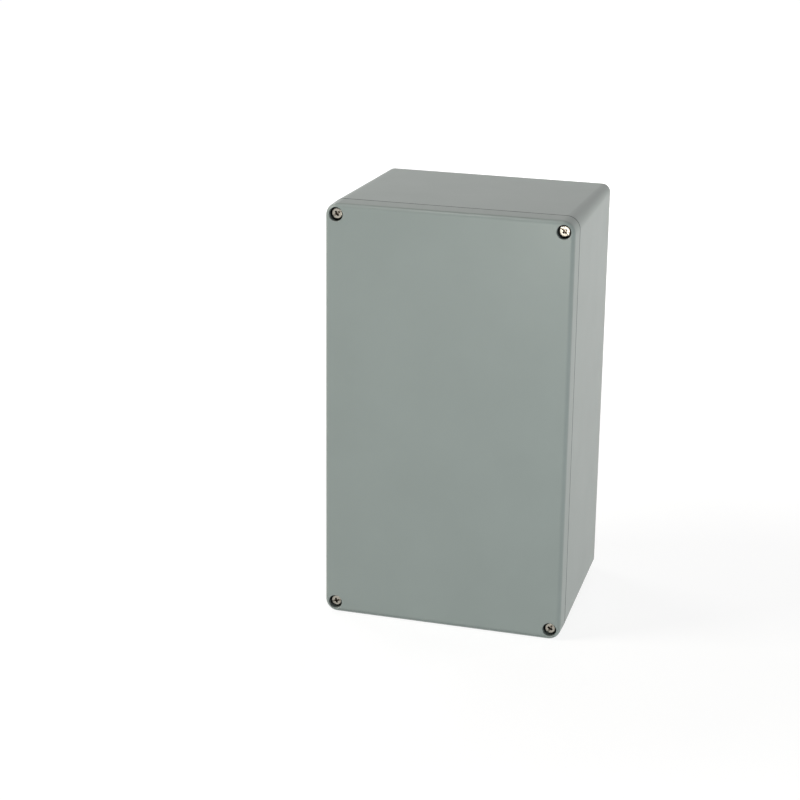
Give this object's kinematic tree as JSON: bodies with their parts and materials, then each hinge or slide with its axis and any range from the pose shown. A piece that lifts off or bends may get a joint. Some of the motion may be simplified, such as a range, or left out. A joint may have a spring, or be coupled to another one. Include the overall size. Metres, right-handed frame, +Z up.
{
  "type": "sealed die cast aluminium enclosure",
  "caption": "Deep painted die cast enclosure with a shallow lift-off lid, captive lid screws sunk in round wells, and a seal labyrinth that steps round the corner columns.",
  "frame": {"origin": "middle of the underside of the upright box, on the surface that it stands on", "axes": "+Z up along the box's long side, -Y out of the lid towards the user, +Y out of the back towards the wall, +X to the user's right"},
  "size_m": [0.23, 0.184, 0.4],
  "materials": {
    "base_paint": "silver-grey silk powder coat",
    "lid_paint": "silver-grey silk powder coat",
    "seal": "matt black chloroprene",
    "lid_screw_steel": "bright turned stainless steel",
    "retainer": "natural nylon",
    "earth_screw_steel": "bright turned stainless steel",
    "washer_steel": "bright pressed stainless steel"
  },
  "bodies": {
    "case": {"base": "base_paint", "base_earth_screw": "earth_screw_steel", "base_earth_spring_washer": "washer_steel", "base_earth_clamp_washer": "washer_steel"},
    "lid": {"lid": "lid_paint", "lid_seal": "seal", "screw_retainer_top_left": "retainer", "screw_retainer_top_right": "retainer", "screw_retainer_bottom_left": "retainer", "screw_retainer_bottom_right": "retainer", "lid_earth_screw": "earth_screw_steel", "lid_earth_spring_washer": "washer_steel", "lid_earth_clamp_washer": "washer_steel"},
    "lid_screw_top_left": {"lid_screw_top_left": "lid_screw_steel"},
    "lid_screw_top_right": {"lid_screw_top_right": "lid_screw_steel"},
    "lid_screw_bottom_left": {"lid_screw_bottom_left": "lid_screw_steel"},
    "lid_screw_bottom_right": {"lid_screw_bottom_right": "lid_screw_steel"}
  },
  "joints": [
    {"name": "lid_lift_off", "type": "slide", "parent": "case", "child": "lid", "axis": [0, -1, 0], "range_m": [0, 0.15]},
    {"name": "lid_screw_top_left_turn", "type": "hinge", "parent": "lid", "child": "lid_screw_top_left", "pos_m": [-0.1047, -0.0843, 0.3897], "axis": [0, -1, 0], "continuous": true},
    {"name": "lid_screw_top_right_turn", "type": "hinge", "parent": "lid", "child": "lid_screw_top_right", "pos_m": [0.1047, -0.0843, 0.3897], "axis": [0, -1, 0], "continuous": true},
    {"name": "lid_screw_bottom_left_turn", "type": "hinge", "parent": "lid", "child": "lid_screw_bottom_left", "pos_m": [-0.1047, -0.0843, 0.0103], "axis": [0, -1, 0], "continuous": true},
    {"name": "lid_screw_bottom_right_turn", "type": "hinge", "parent": "lid", "child": "lid_screw_bottom_right", "pos_m": [0.1047, -0.0843, 0.0103], "axis": [0, -1, 0], "continuous": true}
  ]
}
